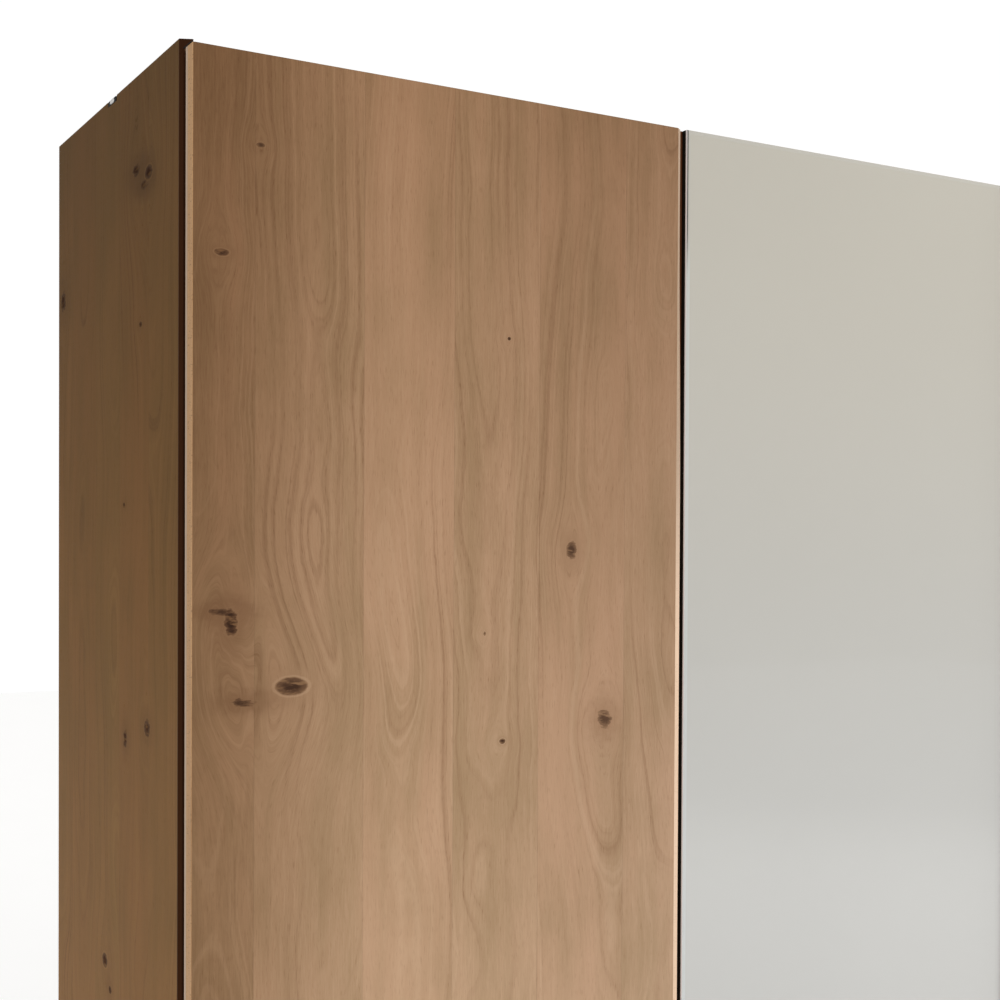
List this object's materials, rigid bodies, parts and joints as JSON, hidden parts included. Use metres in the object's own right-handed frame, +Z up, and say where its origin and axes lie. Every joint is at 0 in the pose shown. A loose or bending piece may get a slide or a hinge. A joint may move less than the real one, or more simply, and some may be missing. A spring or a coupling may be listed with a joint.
{
  "type": "sliding door wardrobe",
  "caption": "Wide wardrobe with two hanging sliding leaves, each half knotty oak and half pale lacquered glass, over bays with shelves and clothes rails.",
  "frame": {"origin": "middle of the footprint, on the floor", "axes": "+Z up; +X to the right as one faces the doors; the doors face -Y and the wall is on the +Y side"},
  "size_m": [3, 0.672, 2.17],
  "materials": {
    "oak_side": "matte oiled knotty oak",
    "oak": "matte oiled knotty oak",
    "oak_light": "light solid oak lipping",
    "interior_decor": "matte linen decor",
    "edge_brown": "satin brown edge band",
    "trim_dark": "dark brown plastic",
    "back_board": "painted hardboard",
    "carrier_grey": "light grey coated board",
    "backing_mdf": "raw fibreboard",
    "lacquered_glass": "pebble grey lacquer behind clear glass",
    "aluminium": "satin anodised",
    "steel": "zinc plated",
    "chrome": "polished",
    "nylon": "natural nylon",
    "rubber": "matte",
    "black_plastic": "matte",
    "white_plastic": "glossy"
  },
  "bodies": {
    "carcass": {"side_panel_left": "oak_side", "side_panel_right": "oak_side", "top_clips": "white_plastic", "bottom_board_left": "interior_decor", "bottom_board_right": "interior_decor", "top_board_left": "interior_decor", "top_board_right": "interior_decor", "partition_left": "interior_decor", "partition_centre": "interior_decor", "partition_right": "interior_decor", "edge_bands": "edge_brown", "dust_lips": "trim_dark", "lip_caps": "trim_dark", "back_panels": "back_board", "back_joint_strips": "black_plastic", "plinth_front": "oak_side", "plinth_rear": "interior_decor", "foot_pads": "black_plastic", "foot_screws": "steel", "side_glides": "black_plastic", "hat_shelves": "interior_decor", "inner_shelves": "interior_decor", "shelf_pins": "steel", "clothes_rails": "chrome", "rail_flanges": "steel", "cam_locks": "steel", "top_track": "aluminium", "bottom_track": "aluminium", "end_stops": "rubber", "wall_brackets": "steel", "case_screws": "steel"},
    "left_door": {"left_carrier": "carrier_grey", "left_oak_panel": "oak", "left_oak_lippings": "oak_light", "left_glass_backing": "backing_mdf", "left_glass": "lacquered_glass", "left_grip_inlay": "trim_dark", "left_hangers": "steel", "left_guide_brackets": "steel", "left_door_screws": "steel"},
    "left_wheel_1": {"left_wheel_1": "nylon"},
    "left_guide_roller_1": {"left_guide_roller_1": "nylon"},
    "left_wheel_2": {"left_wheel_2": "nylon"},
    "left_guide_roller_2": {"left_guide_roller_2": "nylon"},
    "right_door": {"right_carrier": "carrier_grey", "right_oak_panel": "oak", "right_oak_lippings": "oak_light", "right_glass_backing": "backing_mdf", "right_glass": "lacquered_glass", "right_grip_inlay": "trim_dark", "right_hangers": "steel", "right_guide_brackets": "steel", "right_door_screws": "steel"},
    "right_wheel_1": {"right_wheel_1": "nylon"},
    "right_guide_roller_1": {"right_guide_roller_1": "nylon"},
    "right_wheel_2": {"right_wheel_2": "nylon"},
    "right_guide_roller_2": {"right_guide_roller_2": "nylon"}
  },
  "joints": [
    {"name": "left_door_slide", "type": "slide", "parent": "carcass", "child": "left_door", "axis": [1, 0, 0], "range_m": [0, 1.484]},
    {"name": "left_wheel_1_spin", "type": "hinge", "parent": "left_door", "child": "left_wheel_1", "pos_m": [-1.339, -0.225, 2.1333], "axis": [0, 1, 0], "continuous": true},
    {"name": "left_guide_roller_1_spin", "type": "hinge", "parent": "left_door", "child": "left_guide_roller_1", "pos_m": [-1.339, -0.225, 0.0645], "axis": [0, 0, 1], "continuous": true},
    {"name": "left_wheel_2_spin", "type": "hinge", "parent": "left_door", "child": "left_wheel_2", "pos_m": [-0.145, -0.225, 2.1333], "axis": [0, 1, 0], "continuous": true},
    {"name": "left_guide_roller_2_spin", "type": "hinge", "parent": "left_door", "child": "left_guide_roller_2", "pos_m": [-0.145, -0.225, 0.0645], "axis": [0, 0, 1], "continuous": true},
    {"name": "right_door_slide", "type": "slide", "parent": "carcass", "child": "right_door", "axis": [1, 0, 0], "range_m": [-1.484, 0]},
    {"name": "right_wheel_1_spin", "type": "hinge", "parent": "right_door", "child": "right_wheel_1", "pos_m": [1.339, -0.185, 2.1333], "axis": [0, 1, 0], "continuous": true},
    {"name": "right_guide_roller_1_spin", "type": "hinge", "parent": "right_door", "child": "right_guide_roller_1", "pos_m": [1.339, -0.185, 0.0645], "axis": [0, 0, 1], "continuous": true},
    {"name": "right_wheel_2_spin", "type": "hinge", "parent": "right_door", "child": "right_wheel_2", "pos_m": [0.145, -0.185, 2.1333], "axis": [0, 1, 0], "continuous": true},
    {"name": "right_guide_roller_2_spin", "type": "hinge", "parent": "right_door", "child": "right_guide_roller_2", "pos_m": [0.145, -0.185, 0.0645], "axis": [0, 0, 1], "continuous": true}
  ],
  "couplings": [
    {"joint": "left_wheel_1_spin", "follows": "left_door_slide", "rad_per_m": 76.923},
    {"joint": "left_guide_roller_1_spin", "follows": "left_door_slide", "rad_per_m": 116.28},
    {"joint": "left_wheel_2_spin", "follows": "left_door_slide", "rad_per_m": 76.923},
    {"joint": "left_guide_roller_2_spin", "follows": "left_door_slide", "rad_per_m": 116.28},
    {"joint": "right_wheel_1_spin", "follows": "right_door_slide", "rad_per_m": 76.923},
    {"joint": "right_guide_roller_1_spin", "follows": "right_door_slide", "rad_per_m": 116.28},
    {"joint": "right_wheel_2_spin", "follows": "right_door_slide", "rad_per_m": 76.923},
    {"joint": "right_guide_roller_2_spin", "follows": "right_door_slide", "rad_per_m": 116.28}
  ]
}
